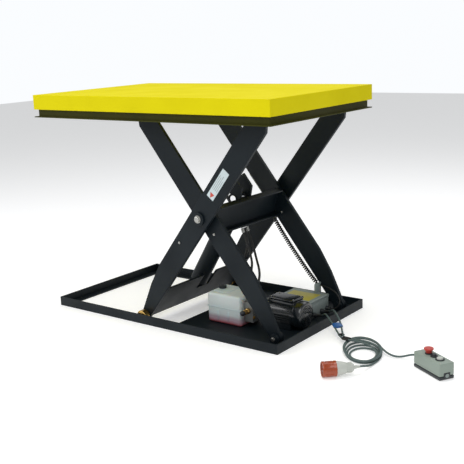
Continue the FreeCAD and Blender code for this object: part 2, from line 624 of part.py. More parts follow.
node(on_plug(cut(fuse([rod("x", 0, 0, 0, "28", "52"), rod("x", "46", 0, 0, "29.5", "8")]),
                 rod("x", "-1", 0, 0, "24.5", "45"))), "plug_shroud")
plug_pins = [rod("x", "12", "%.3f" % (14.5 * math.cos(math.radians(a))),
                 "%.3f" % (14.5 * math.sin(math.radians(a))), "2.5", "32")
             for a in (90, 18, -54, -126, 162)]
node(on_plug(group(plug_pins)), "plug_pins")
cone = doc.addObject("Part::Cone", "cone")
cone.Radius1 = 24
cone.Radius2 = 17
cone.Height = 36
put(cone, "54", 0, 0, (0, 1, 0), 90)
node(on_plug(cut(fuse([cone, rod("x", "90", 0, 0, "15", "16"),
                       rod("x", "106", 0, 0, "12", "14")]),
                 rod("x", "89", 0, 0, "cord_r + 0.3", "40"))), "plug_body")


# Cords and hoses: straight runs joined by tangent arcs
def tube(points, radius, name):
    points = [V(*p) for p in points]
    edges = []
    start = points[0]
    tightest = 1e9
    for before, corner, after in zip(points, points[1:], points[2:]):
        back = (before - corner).normalize()
        ahead = (after - corner).normalize()
        turn = math.pi - back.getAngle(ahead)
        cut_back = 0.45 * min((before - corner).Length, (after - corner).Length)
        bend = cut_back / math.tan(turn / 2)
        tightest = min(tightest, bend)
        first = corner + back * cut_back
        last = corner + ahead * cut_back
        middle = (back + ahead).normalize()
        hub = corner + middle * (bend / math.cos(turn / 2))
        edges.append(Part.LineSegment(start, first).toShape())
        edges.append(Part.Arc(first, hub - middle * bend, last).toShape())
        start = last
    edges.append(Part.LineSegment(start, points[-1]).toShape())
    wire = Part.Wire(edges)
    length = wire.Length
    ring = Part.makeCircle(radius, points[0], points[1] - points[0])
    solid = wire.makePipeShell([Part.Wire([ring])], True, True, 2)
    share = solid.Volume / (math.pi * radius * radius * length)
    assert 0.98 < share < 1.02, "%s: the tube's volume is off by %.3f" % (name, share)
    assert min(p.z for p in points) >= radius, "%s goes below the floor" % name
    print("%s: smallest bend %.1f mm at radius %.1f mm, length %.0f mm"
          % (name, tightest, radius, length))
    thing = doc.addObject("Part::Feature", "cord")
    thing.Shape = solid
    return thing


def along_line(x, y, turn, distance, z):
    turn = math.radians(value(turn))
    return (value(x) + distance * math.cos(turn), value(y) + distance * math.sin(turn), z)


cord_r = value("cord_r")
gland_x = value(box_end) + 14
supply_in = [(gland_x, 87, 24), (gland_x + 24, 87, 24), (586, 76, 39), (606, 54, 51),
             (632, 26, 55), (664, -2, 47), (698, -28, 36), (730, -54, 24), (757, -79, 16),
             (780, -98, 14)]
supply_out = [(989, -190, 4.6), (991, -222, 4.6), (992, -256, 6), (992, -290, 14),
              (990, -320, 24), along_line("plug_x", "plug_y", "plug_turn", 134, 30),
              along_line("plug_x", "plug_y", "plug_turn", 104, 30)]
node(group([tube(supply_in, cord_r, "supply_cable"),
            tube(supply_out, cord_r, "supply_cable")]), "supply_cable")

pendant_in = [(gland_x, 150, 24), (gland_x + 24, 150, 24), (588, 136, 40), (616, 106, 55),
              (650, 68, 57), (684, 34, 50), (714, 0, 40), (740, -36, 29), (763, -68, 21),
              (785, -87, 19)]
pendant_out = [(956, -100, 16), (974, -117, 16), (998, -131, 12), (1026, -135, 8),
               (1052, -128, 8.5), (1076, -117, 16)]
for distance, z in ((-126, 25.5), (-106, 28), (-64, 28)):
    pendant_out.append(along_line("pendant_x", "pendant_y", "pendant_turn", distance, z))
node(group([tube(pendant_in, cord_r, "pendant_cable"),
            tube(pendant_out, cord_r, "pendant_cable")]), "pendant_cable")


def oval(long, wide):
    """An upright oval block as high as the coil, at the coil's own middle."""
    rim = doc.addObject("Part::Ellipse", "rim")
    bind(rim, "MajorRadius", long)
    bind(rim, "MinorRadius", wide)
    block = doc.addObject("Part::Extrusion", "oval")
    block.Base = rim
    block.DirMode = "Custom"
    block.Dir = V(0, 0, 1)
    block.Solid = True
    bind(block, "LengthFwd", "coil_high")
    return block


coil_hole = put(oval("coil_hole_long", "coil_hole_wide"), "coil_hole_shift")
coil = cut(oval("coil_long", "coil_wide"), coil_hole)
node(put(coil, "coil_x", "coil_y", 0, (0, 0, 1), "coil_turn"), "cable_coil")

curly_y = value("inner_arm_y") - 18.5
curly = [(230, curly_y, 401), (249, curly_y, 359), (281, curly_y, 310), (318, curly_y, 260),
         (356, curly_y, 214), (392, curly_y, 170), (430, curly_y, 136), (458, curly_y, 118)]
node(tube(curly, value("curly_r"), "curly_cord"), "curly_cord")
tail = [(gland_x, 195, 24), (563, 195, 24), (582, 200, 38), (590, 206, 58), (580, 214, 80),
        (556, 221, 97), (524, 226, 108), (495, 229, 113), (474, 231, 114)]
node(tube(tail, value("lead_r"), "curly_tail"), "curly_tail")
hoses = []
for x, y, last_y in ((338, -132, -20), (356, -96, 14)):
    run = [(x, y, 140), (x, y, 168), (x + 2, y + 22, 206), (x - 18, y + 50, 236),
           (305, (y + 50 + last_y) / 2, 262), (276, last_y - 4, 292), (262, last_y, 328),
           (247, last_y, 365), (234, last_y, 403)]
    hoses.append(tube(run, value("hose_r"), "hydraulic_hoses"))
node(group(hoses), "hydraulic_hoses")
loop = [(108, 0, 254), (134, -1, 240), (166, -2, 232), (198, -3, 238), (223, -3, 260),
        (240, -3, 292), (247, -3, 328), (244, -3, 366), (235, -3, 403)]
node(tube(loop, value("hose_r"), "hose_loop"), "hose_loop")

# Check and export
doc.recompute()
for thing in doc.Objects:
    bad = [s for s in thing.State if s in ("Invalid", "Error")]
    assert not bad, "%s is %s" % (thing.Label, bad)
os.makedirs("parts", exist_ok=True)
for thing in NODES:
    shape = thing.Shape
    assert not shape.isNull(), "%s is empty" % thing.Label
    assert shape.isValid(), "%s is not valid" % thing.Label
    shape.exportStep("parts/%s.step" % thing.Label)
print("%d parts" % len(NODES))
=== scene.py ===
import bpy
import bmesh
import json
from math import asin, atan2, cos, pi, radians, sin
from mathutils import Matrix, Vector


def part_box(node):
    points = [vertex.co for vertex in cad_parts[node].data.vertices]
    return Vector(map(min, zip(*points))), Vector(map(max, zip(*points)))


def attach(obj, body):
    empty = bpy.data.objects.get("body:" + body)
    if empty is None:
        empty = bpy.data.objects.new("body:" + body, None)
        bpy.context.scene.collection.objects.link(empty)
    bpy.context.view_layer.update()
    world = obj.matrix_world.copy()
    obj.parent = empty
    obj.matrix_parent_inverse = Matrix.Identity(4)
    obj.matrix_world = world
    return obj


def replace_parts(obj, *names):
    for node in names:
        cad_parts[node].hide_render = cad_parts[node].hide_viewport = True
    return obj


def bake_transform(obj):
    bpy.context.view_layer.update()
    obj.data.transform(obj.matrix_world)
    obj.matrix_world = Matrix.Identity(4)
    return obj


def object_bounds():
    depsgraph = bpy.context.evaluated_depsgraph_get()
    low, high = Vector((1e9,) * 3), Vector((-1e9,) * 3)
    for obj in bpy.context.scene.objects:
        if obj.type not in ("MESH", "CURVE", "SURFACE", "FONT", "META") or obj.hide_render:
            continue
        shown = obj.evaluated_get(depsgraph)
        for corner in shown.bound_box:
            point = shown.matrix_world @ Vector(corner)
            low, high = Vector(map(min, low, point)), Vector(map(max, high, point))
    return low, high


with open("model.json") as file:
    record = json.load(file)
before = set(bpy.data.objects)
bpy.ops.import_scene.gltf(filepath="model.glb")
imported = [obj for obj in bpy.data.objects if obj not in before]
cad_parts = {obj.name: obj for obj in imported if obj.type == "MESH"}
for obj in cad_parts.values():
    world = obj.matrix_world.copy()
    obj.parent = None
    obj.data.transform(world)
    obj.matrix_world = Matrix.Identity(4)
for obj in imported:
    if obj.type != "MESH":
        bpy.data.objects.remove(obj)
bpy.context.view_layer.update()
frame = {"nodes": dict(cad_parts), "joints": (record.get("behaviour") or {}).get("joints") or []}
nodes = frame["nodes"]
joints = {joint["name"]: joint for joint in frame["joints"]}
print("frame loaded")

# camera
cameraSet = {"place": (2.44596, -2.94760, 1.24076), "yaw": 2.23030, "pitch": -0.228389,
             "roll": -0.040459, "lens": 66.68}


def addCamera():
    yaw, pitch, roll = cameraSet["yaw"], cameraSet["pitch"], cameraSet["roll"]
    ahead = Vector((cos(pitch) * cos(yaw), cos(pitch) * sin(yaw), sin(pitch)))
    right = ahead.cross(Vector((0, 0, 1))).normalized()
    up = right.cross(ahead)
    rightTurned = right * cos(roll) + up * sin(roll)
    upTurned = up * cos(roll) - right * sin(roll)
    turn = Matrix((rightTurned, upTurned, -ahead)).transposed().to_4x4()
    data = bpy.data.cameras.new("viewCamera")
    data.lens = cameraSet["lens"]
    data.sensor_width = 36
    camera = bpy.data.objects.new("viewCamera", data)
    camera.matrix_world = Matrix.Translation(cameraSet["place"]) @ turn
    bpy.context.scene.collection.objects.link(camera)
    bpy.context.scene.camera = camera


addCamera()
bpy.context.scene.view_settings.view_transform = "Standard"

# where the arms are
pivotLow = Vector(joints["lift"]["pos_m"])
armCentre = Vector(joints["scissor"]["pos_m"])
arm = {"half": 0.575, "pinOffset": 0.0244}
armTurn = (atan2(armCentre.z - pivotLow.z, pivotLow.x - armCentre.x)
           - asin(arm["pinOffset"] / arm["half"]))
outerFrame = Matrix.Translation(armCentre) @ Matrix.Rotation(-armTurn, 4, "Y")
innerFrame = Matrix.Translation(armCentre) @ Matrix.Rotation(armTurn, 4, "Y")
brace = {"place": (-0.0215, 0, 0.039), "turn": radians(50.7)}
braceFrame = (innerFrame @ Matrix.Translation(brace["place"])
              @ Matrix.Rotation(brace["turn"], 4, "Y"))

# the loose pendant and plug, each with its size beside its place
pendant = {"place": (1.2095, -0.184, 0), "turn": radians(-30), "long": 0.160, "wide": 0.064,
           "base": 0.014, "top": 0.062, "inset": 0.009, "cordHigh": 0.028}
plug = {"place": (0.888, -0.439, 0.030), "turn": radians(42.7), "ribs": 12, "grips": 18,
        "gripStart": 0.054, "gripEnd": 0.120}
pendantFrame = (Matrix.Translation(pendant["place"])
                @ Matrix.Rotation(pendant["turn"], 4, "Z"))
plugFrame = Matrix.Translation(plug["place"]) @ Matrix.Rotation(plug["turn"], 4, "Z")


# material groups
def newGroup(name, inputs, outputs):
    group = bpy.data.node_groups.new(name, "ShaderNodeTree")
    for socketName, kind, value in inputs:
        made = group.interface.new_socket(socketName, in_out="INPUT", socket_type=kind)
        made.default_value = value
    for socketName, kind in outputs:
        group.interface.new_socket(socketName, in_out="OUTPUT", socket_type=kind)
    start = group.nodes.new("NodeGroupInput")
    end = group.nodes.new("NodeGroupOutput")
    return group, start, end


def joined(tree, kind, **values):
    node = tree.nodes.new(kind)
    for name, value in values.items():
        setattr(node, name, value)
    return node


def noiseAt(tree, coords, scale, detail=3.0, stretch=None):
    noise = joined(tree, "ShaderNodeTexNoise")
    noise.inputs["Detail"].default_value = detail
    if hasattr(scale, "is_output"):
        tree.links.new(scale, noise.inputs["Scale"])
    else:
        noise.inputs["Scale"].default_value = scale
    if stretch:
        mapping = joined(tree, "ShaderNodeMapping")
        mapping.inputs["Scale"].default_value = stretch
        tree.links.new(coords, mapping.inputs["Vector"])
        coords = mapping.outputs["Vector"]
    tree.links.new(coords, noise.inputs["Vector"])
    return noise.outputs["Fac"]


def ranged(tree, value, low, high, toLow=0.0, toHigh=1.0):
    node = joined(tree, "ShaderNodeMapRange")
    tree.links.new(value, node.inputs["Value"])
    for name, size in (("From Min", low), ("From Max", high), ("To Min", toLow),
                       ("To Max", toHigh)):
        if hasattr(size, "is_output"):
            tree.links.new(size, node.inputs[name])
        else:
            node.inputs[name].default_value = size
    return node.outputs["Result"]


def mixed(tree, factor, first, second):
    node = joined(tree, "ShaderNodeMix", data_type="RGBA")
    for socket, value in ((node.inputs[0], factor), (node.inputs[6], first),
                          (node.inputs[7], second)):
        if hasattr(value, "is_output"):
            tree.links.new(value, socket)
        else:
            socket.default_value = value
    return node.outputs[2]


# soft patches of tone, fine specks and an even grain for paint and plastic
def buildFinishGroup():
    group, start, end = newGroup(
        "finishGroup",
        [("Color", "NodeSocketColor", (0.5, 0.5, 0.5, 1)),
         ("Patch Color", "NodeSocketColor", (0.4, 0.4, 0.4, 1)),
         ("Speck Color", "NodeSocketColor", (0.6, 0.6, 0.6, 1)),
         ("Patch", "NodeSocketFloat", 0.4), ("Specks", "NodeSocketFloat", 0.1),
         ("Grain Scale", "NodeSocketFloat", 900.0), ("Rough Low", "NodeSocketFloat", 0.3),
         ("Rough High", "NodeSocketFloat", 0.5)],
        [("Color", "NodeSocketColor"), ("Roughness", "NodeSocketFloat"),
         ("Height", "NodeSocketFloat")])
    link = group.links.new
    coords = joined(group, "ShaderNodeTexCoord").outputs["Object"]
    wide = noiseAt(group, coords, 5.0, 4.0)
    specks = noiseAt(group, coords, 160.0, 2.0)
    grain = noiseAt(group, coords, start.outputs["Grain Scale"], 2.0)
    patchMask = ranged(group, wide, 0.38, 0.66, 0.0, start.outputs["Patch"])
    speckMask = ranged(group, specks, 0.68, 0.76, 0.0, start.outputs["Specks"])
    toned = mixed(group, patchMask, start.outputs["Color"], start.outputs["Patch Color"])
    link(mixed(group, speckMask, toned, start.outputs["Speck Color"]), end.inputs["Color"])
    rough = ranged(group, wide, 0.3, 0.7, start.outputs["Rough Low"],
                   start.outputs["Rough High"])
    link(rough, end.inputs["Roughness"])
    link(grain, end.inputs["Height"])
    return group


finishGroup = buildFinishGroup()


def shaded(name, color, patchColor=None, speckColor=None, patch=0.35, specks=0.05,
           grain=900.0, rough=(0.35, 0.5), metal=0.0, bump=0.1, coat=0.0, gloss=0.5, depth=0.0003):
    material = bpy.data.materials.new(name)
    material.use_nodes = True
    tree = material.node_tree
    shader = tree.nodes["Principled BSDF"]
    look = joined(tree, "ShaderNodeGroup", node_tree=finishGroup)
    look.inputs["Color"].default_value = (*color, 1)
    look.inputs["Patch Color"].default_value = (*(patchColor or [c * 0.8 for c in color]), 1)
    look.inputs["Speck Color"].default_value = (*(speckColor or [c * 1.3 for c in color]), 1)
    for socket, value in (("Patch", patch), ("Specks", specks), ("Grain Scale", grain),
                          ("Rough Low", rough[0]), ("Rough High", rough[1])):
        look.inputs[socket].default_value = value
    relief = joined(tree, "ShaderNodeBump")
    relief.inputs["Strength"].default_value = bump
    relief.inputs["Distance"].default_value = depth
    tree.links.new(look.outputs["Color"], shader.inputs["Base Color"])
    tree.links.new(look.outputs["Roughness"], shader.inputs["Roughness"])
    tree.links.new(look.outputs["Height"], relief.inputs["Height"])
    tree.links.new(relief.outputs["Normal"], shader.inputs["Normal"])
    shader.inputs["Metallic"].default_value = metal
    shader.inputs["Coat Weight"].default_value = coat
    shader.inputs["Specular IOR Level"].default_value = gloss
    return material


def sheathed(name, color, rough=0.5):
    return shaded(name, color, grain=500.0, patch=0.3, specks=0.15, rough=(rough, rough + 0.15))


tankLook = {"milky": (0.66, 0.73, 0.72), "tinted": (0.47, 0.37, 0.42, 1),
            "oil": (0.42, 0.065, 0.085, 1), "tintHeights": (0.056, 0.040),
            "oilHeights": (0.034, 0.016), "wave": 0.010}


# milky plastic; the oil shows pink through its lower part
def tankMaterial():
    material = shaded("tankMilky", tankLook["milky"], patch=0.25, rough=(0.25, 0.38), bump=0.05)
    tree = material.node_tree
    shader = tree.nodes["Principled BSDF"]
    look = [n for n in tree.nodes if n.type == "GROUP"][0]
    coords = joined(tree, "ShaderNodeTexCoord").outputs["Object"]
    parts = joined(tree, "ShaderNodeSeparateXYZ")
    tree.links.new(coords, parts.inputs["Vector"])
    wave = noiseAt(tree, coords, 18.0, 2.0)
    edge = joined(tree, "ShaderNodeMath", operation="MULTIPLY_ADD")
    tree.links.new(wave, edge.inputs[0])
    edge.inputs[1].default_value = tankLook["wave"]
    tree.links.new(parts.outputs["Z"], edge.inputs[2])
    tint = ranged(tree, edge.outputs[0], *tankLook["tintHeights"])
    oil = ranged(tree, edge.outputs[0], *tankLook["oilHeights"])
    tinted = mixed(tree, tint, look.outputs["Color"], tankLook["tinted"])
    tree.links.new(mixed(tree, oil, tinted, tankLook["oil"]),
                   shader.inputs["Base Color"])
    shader.inputs["Subsurface Weight"].default_value = 0.15
    return material


finishes = {
    "yellow": shaded("tableYellow", (0.64, 0.56, 0.002), (0.56, 0.48, 0.002), (0.70, 0.62, 0.01),
                     patch=0.5, specks=0.2, grain=420.0, rough=(0.55, 0.7), bump=0.25, gloss=0.06),
    "olive": shaded("tripOlive", (0.040, 0.040, 0.003), (0.022, 0.028, 0.006), rough=(0.45, 0.6),
                    gloss=0.12),
    "steel": shaded("blackPaint", (0.0040, 0.0085, 0.0120), (0.0022, 0.0048, 0.0075),
                    (0.02, 0.03, 0.035), patch=0.6, specks=0.08, grain=600.0,
                    rough=(0.42, 0.60), bump=0.18, gloss=0.22),
    "pin": shaded("pinSteel", (0.42, 0.42, 0.40), (0.3, 0.29, 0.27), patch=0.6, specks=0.3,
                  rough=(0.25, 0.42), metal=1.0),
    "chrome": shaded("ramChrome", (0.72, 0.72, 0.73), rough=(0.06, 0.12), metal=1.0, bump=0.02),
    "brass": shaded("rollerBrass", (0.50, 0.32, 0.10), (0.35, 0.2, 0.06), patch=0.6,
                    rough=(0.25, 0.4), metal=1.0),
    "alloy": shaded("castAlloy", (0.30, 0.31, 0.30), patch=0.5, specks=0.3, grain=300.0,
                    rough=(0.4, 0.6), metal=0.85, bump=0.3),
    "motor": shaded("motorBlack", (0.0045, 0.0075, 0.0095), patch=0.5, rough=(0.14, 0.26), bump=0.12,
                    coat=0.3),
    "boxGrey": shaded("boxGrey", (0.22, 0.26, 0.25), (0.18, 0.215, 0.205), rough=(0.45, 0.6)),
    "pendantGrey": shaded("pendantGrey", (0.235, 0.285, 0.245), (0.20, 0.24, 0.205),
                          rough=(0.42, 0.55), grain=1400.0, bump=0.2),
    "dark": shaded("darkPlastic", (0.016, 0.020, 0.023), rough=(0.35, 0.5)),
    "red": shaded("stopRed", (0.46, 0.028, 0.015), patch=0.25, rough=(0.28, 0.38), coat=0.3),
    "plugRed": shaded("plugRed", (0.31, 0.045, 0.006), (0.24, 0.033, 0.005), patch=0.4,
                      rough=(0.3, 0.45), coat=0.2),
    "plugLight": shaded("plugLight", (0.48, 0.50, 0.46), (0.4, 0.42, 0.38), rough=(0.35, 0.5)),
    "sheathGrey": sheathed("sheathGrey", (0.070, 0.105, 0.100)),
    "rubber": sheathed("blackRubber", (0.004, 0.0045, 0.005), 0.55),
    "leadGrey": sheathed("leadGrey", (0.25, 0.28, 0.28)),
    "tape": shaded("blueTape", (0.004, 0.09, 0.30), patch=0.4, rough=(0.3, 0.4)),
    "labelWhite": shaded("labelWhite", (0.52, 0.60, 0.62), patch=0.25, specks=0.1,
                         rough=(0.3, 0.4), bump=0.03),
    "labelRed": shaded("labelRed", (0.50, 0.06, 0.04), patch=0.2, rough=(0.3, 0.4)),
    "labelYellow": shaded("labelYellow", (0.42, 0.37, 0.06), patch=0.3, rough=(0.35, 0.45)),
    "tank": tankMaterial(),
}
print("materials made")


# mesh helpers
def finished(name, bm, finish, body, bevel=0.0, angle=35, merge=True):
    if merge:
        bmesh.ops.remove_doubles(bm, verts=bm.verts, dist=1e-6)
    bmesh.ops.recalc_face_normals(bm, faces=bm.faces)
    mesh = bpy.data.meshes.new(name)
    bm.to_mesh(mesh)
    bm.free()
    piece = bpy.data.objects.new(name, mesh)
    bpy.context.scene.collection.objects.link(piece)
    return dressed(piece, finish, body, bevel, angle)


def dressed(piece, finish, body, bevel=0.0, angle=35):
    piece.data.materials.clear()
    piece.data.materials.append(finishes[finish])
    piece.data.shade_smooth()
    piece.data.set_sharp_from_angle(angle=radians(angle))
    if bevel:
        edge = piece.modifiers.new("edges", "BEVEL")
        edge.width = bevel
        edge.segments = 2
        edge.limit_method = "ANGLE"
        edge.angle_limit = radians(angle)
        edge.harden_normals = False
    if body:
        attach(piece, body)
    return piece


# a copy of a CAD node with its edges rounded, which stands for that node
def softened(node, finish, bevel, body, angle=35):
    bm = bmesh.new()
    bm.from_mesh(nodes[node].data)
    bmesh.ops.remove_doubles(bm, verts=bm.verts, dist=2e-6)
    bmesh.ops.dissolve_limit(bm, angle_limit=radians(0.5), verts=bm.verts, edges=bm.edges)
    piece = finished(node + "_soft", bm, finish, body, bevel, angle, merge=False)
    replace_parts(piece, node)
    return piece


def aimed(place, axis, world=Matrix.Identity(4)):
    turn = Vector((0, 0, 1)).rotation_difference(Vector(axis)).to_matrix().to_4x4()
    return world @ Matrix.Translation(place) @ turn


# spins a closed or axis-to-axis profile of (radius, height) about its own Z
def lathed(bm, profile, where, steps=40):
    before = set(bm.verts)
    made = [bm.verts.new((radius, 0, height)) for radius, height in profile]
    lines = [bm.edges.new(pair) for pair in zip(made, made[1:])]
    bmesh.ops.spin(bm, geom=made + lines, cent=(0, 0, 0), axis=(0, 0, 1), angle=2 * pi,
                   steps=steps, use_merge=True)
    fresh = [v for v in bm.verts if v not in before]
    bmesh.ops.remove_doubles(bm, verts=fresh, dist=1e-6)
    fresh = [v for v in bm.verts if v not in before]
    bmesh.ops.transform(bm, matrix=where, verts=fresh)
    return fresh


def blocked(bm, low, high, world=Matrix.Identity(4), round_=0.0, segments=2):
    low, high = Vector(low), Vector(high)
    size = high - low
    place = Matrix.Translation((low + high) / 2) @ Matrix.Diagonal((*size, 1))
    made = bmesh.ops.create_cube(bm, size=1.0, matrix=place)["verts"]
    if round_:
        edges = list({e for v in made for e in v.link_edges})
        shaped = bmesh.ops.bevel(bm, geom=edges, offset=round_, affect="EDGES",
                                 segments=segments, profile=0.5, material=-1)
        made = list({v for f in shaped["faces"] for v in f.verts} | {v for v in made if v.is_valid})
    bmesh.ops.transform(bm, matrix=world, verts=made)
    return made


def hexBolt(bm, place, axis, size, world=Matrix.Identity(4), tall=0.6):
    where = aimed(place, axis, world)
    lathed(bm, [(0, 0), (size * 1.25, 0), (size * 1.25, size * 0.18), (0, size * 0.18)], where, 24)
    profile = [(0, 0), (size, 0), (size, size * tall * 0.85), (size * 0.86, size * tall),
               (0, size * tall)]
    lathed(bm, profile, where @ Matrix.Translation((0, 0, size * 0.18)), 6)


def roundScrew(bm, place, axis, size, world=Matrix.Identity(4)):
    where = aimed(place, axis, world)
    lathed(bm, [(0, 0), (size, 0), (size, size * 0.3), (size * 0.75, size * 0.55),
                (size * 0.32, size * 0.6), (size * 0.3, size * 0.25), (0, size * 0.25)], where, 20)


# cords
def curveOf(name, points, thick, resolution=4):
    data = bpy.data.curves.new(name, "CURVE")
    data.dimensions = "3D"
    data.resolution_u = resolution
    data.bevel_depth = thick
    data.bevel_resolution = 4
    data.use_fill_caps = True
    line = data.splines.new("NURBS")
    line.points.add(len(points) - 1)
    for point, place in zip(line.points, points):
        point.co = (*place, 1)
    line.order_u = 3
    line.use_endpoint_u = True
    curve = bpy.data.objects.new(name, data)
    bpy.context.scene.collection.objects.link(curve)
    return curve


# close points along the smooth line that a route makes
def routeOf(points):
    curve = curveOf("routeScratch", points, 0.0, 8)
    bpy.context.view_layer.update()
    graph = bpy.context.evaluated_depsgraph_get()
    mesh = bpy.data.meshes.new_from_object(curve.evaluated_get(graph))
    found = [v.co.copy() for v in mesh.vertices]
    bpy.data.objects.remove(curve)
    return found


def lengthOf(points):
    return sum((b - a).length for a, b in zip(points, points[1:]))


coil = {"middle": (0.891, -0.140), "turn": radians(-55), "steps": 14}
cord = {"diameter": 0.008, "supplyLayers": (0.013, 0.0105, 0.008, 0.0046),
        "pendantLow": 0.0132, "pendantRise": 0.0050}


# points of loose clockwise turns; sizes gives half axes and drift after each turn
def coilTurns(sizes, start, count, heightAt):
    found = []
    for i in range(count + 1):
        k = min(i // coil["steps"], len(sizes) - 2)
        share = i / coil["steps"] - k
        a, b, dx, dy = [p * (1 - share) + q * share for p, q in zip(sizes[k], sizes[k + 1])]
        angle = start - 2 * pi * i / coil["steps"]
        x = a * cos(angle) + dx
        y = b * sin(angle) + dy
        found.append((coil["middle"][0] + x * cos(coil["turn"]) - y * sin(coil["turn"]),
                      coil["middle"][1] + x * sin(coil["turn"]) + y * cos(coil["turn"]),
                      heightAt(i, angle)))
    return found


def onPlug(along, height):
    place = plugFrame @ Vector((along, 0, 0))
    return (place.x, place.y, height)


def onPendant(along, height):
    place = pendantFrame @ Vector((along, 0, 0))
    return (place.x, place.y, height)


def supplyHeight(i, angle):
    return cord["supplyLayers"][min(i, 3)]


def pendantHeight(i, angle):
    return cord["pendantLow"] + cord["pendantRise"] * max(0.0, cos(angle - radians(60))) ** 4


supplyRoute = [(0.539, 0.087, 0.024), (0.563, 0.087, 0.024), (0.586, 0.076, 0.039),
               (0.606, 0.054, 0.051), (0.632, 0.026, 0.055), (0.664, -0.002, 0.047),
               (0.698, -0.028, 0.036), (0.730, -0.054, 0.024), (0.757, -0.079, 0.018),
               (0.780, -0.096, 0.018), (0.806, -0.107, 0.024), (0.838, -0.107, 0.025),
               (0.872, -0.107, 0.025), (0.904, -0.112, 0.023), (0.934, -0.126, 0.018)]
supplyRoute += coilTurns([(0.056, 0.050, 0.050, 0), (0.078, 0.058, 0.040, 0.001),
                          (0.100, 0.066, 0.028, -0.001), (0.120, 0.071, 0.014, 0.001),
                          (0.137, 0.075, 0.002, 0)], radians(95), 44, supplyHeight)
supplyRoute += [(0.991, -0.222, 0.0046), (0.992, -0.256, 0.006), (0.992, -0.290, 0.014),
                (0.990, -0.320, 0.024), onPlug(0.134, 0.030), onPlug(0.104, 0.030)]
pendantRoute = [(0.539, 0.150, 0.024), (0.563, 0.150, 0.024), (0.588, 0.136, 0.040),
                (0.616, 0.106, 0.055), (0.650, 0.068, 0.057), (0.684, 0.034, 0.050),
                (0.714, 0.000, 0.040), (0.740, -0.036, 0.029), (0.763, -0.068, 0.021),
                (0.785, -0.087, 0.020), (0.812, -0.094, 0.024), (0.846, -0.092, 0.025),
                (0.880, -0.088, 0.025), (0.912, -0.088, 0.021), (0.938, -0.096, 0.016)]
pendantRoute += coilTurns([(0.120, 0.071, 0.014, 0), (0.130, 0.074, 0.006, 0.001),
                           (0.136, 0.075, 0.002, 0)], radians(88), 28, pendantHeight)
pendantRoute += [(0.974, -0.117, 0.016), (0.998, -0.131, 0.012), (1.026, -0.135, 0.008),
                 (1.052, -0.128, 0.0085), (1.076, -0.117, 0.016), onPendant(-0.126, 0.0255),
                 onPendant(-0.106, pendant["cordHigh"]),
                 onPendant(-0.064, pendant["cordHigh"])]


def dressCurve(curve, finish, body):
    curve.data.materials.append(finishes[finish])
    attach(curve, body)
    return curve


supplyCord = dressCurve(curveOf("supplyCord", supplyRoute, cord["diameter"] / 2), "sheathGrey",
                        "base")
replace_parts(supplyCord, "supply_cable", "cable_coil")
pendantCord = dressCurve(curveOf("pendantCord", pendantRoute, cord["diameter"] / 2), "sheathGrey",
                         "base")
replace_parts(pendantCord, "pendant_cable")
supplyLong = lengthOf(routeOf(supplyRoute))
pendantLong = lengthOf(routeOf(pendantRoute))
print("cords laid", round(supplyLong, 3), round(pendantLong, 3))


# a curve turned into a mesh tube
def meshTube(name, points, thick, finish, body, sides=10):
    curve = curveOf(name + "Line", points, thick, 3)
    curve.data.bevel_resolution = sides // 4
    bpy.context.view_layer.update()
    graph = bpy.context.evaluated_depsgraph_get()
    mesh = bpy.data.meshes.new_from_object(curve.evaluated_get(graph))
    bpy.data.objects.remove(curve)
    bm = bmesh.new()
    bm.from_mesh(mesh)
    bpy.data.meshes.remove(mesh)
    return finished(name, bm, finish, body, angle=60)


curly = {"y": 0.2315, "radius": 0.0078, "pitch": 0.0100, "wire": 0.0031, "steps": 12,
         "ease": 14}


# a helix wound about a route, with straight starts at both ends
def curlyPoints(points, radius, pitch):
    line = routeOf(points)
    total = lengthOf(line)
    count = int(curly["steps"] * total / pitch)
    found = []
    side = Vector((0, 1, 0))
    walked = 0.0
    index = 0
    for i in range(count + 1):
        target = total * i / count
        while index < len(line) - 2 and walked + (line[index + 1] - line[index]).length < target:
            walked += (line[index + 1] - line[index]).length
            index += 1
        step = line[index + 1] - line[index]
        place = line[index] + step.normalized() * (target - walked)
        across = step.normalized().cross(side).normalized()
        ease = min(1.0, i / curly["ease"], (count - i) / curly["ease"])
        angle = 2 * pi * i / curly["steps"]
        found.append(place + (across * cos(angle) + side * sin(angle)) * radius * ease)
    return found


curlyLine = [(0.230, 0.401), (0.254, 0.364), (0.287, 0.318), (0.324, 0.270), (0.362, 0.224),
             (0.398, 0.181), (0.432, 0.143), (0.458, 0.118)]
curlyRoute = [(x, curly["y"], z) for x, z in curlyLine]
curlyCord = meshTube("curlyCord", curlyPoints(curlyRoute, curly["radius"], curly["pitch"]),
                     curly["wire"], "rubber", None)
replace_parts(curlyCord, "curly_cord")
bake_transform(curlyCord)
tailRoute = [(0.539, 0.195, 0.024), (0.563, 0.195, 0.024), (0.582, 0.200, 0.038),
             (0.590, 0.206, 0.058), (0.580, 0.214, 0.080), (0.556, 0.221, 0.097),
             (0.524, 0.226, 0.108), (0.495, 0.229, 0.113), (0.474, 0.231, 0.114)]
curlyTail = meshTube("curlyTail", tailRoute, 0.003, "rubber", "base")
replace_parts(curlyTail, "curly_tail")

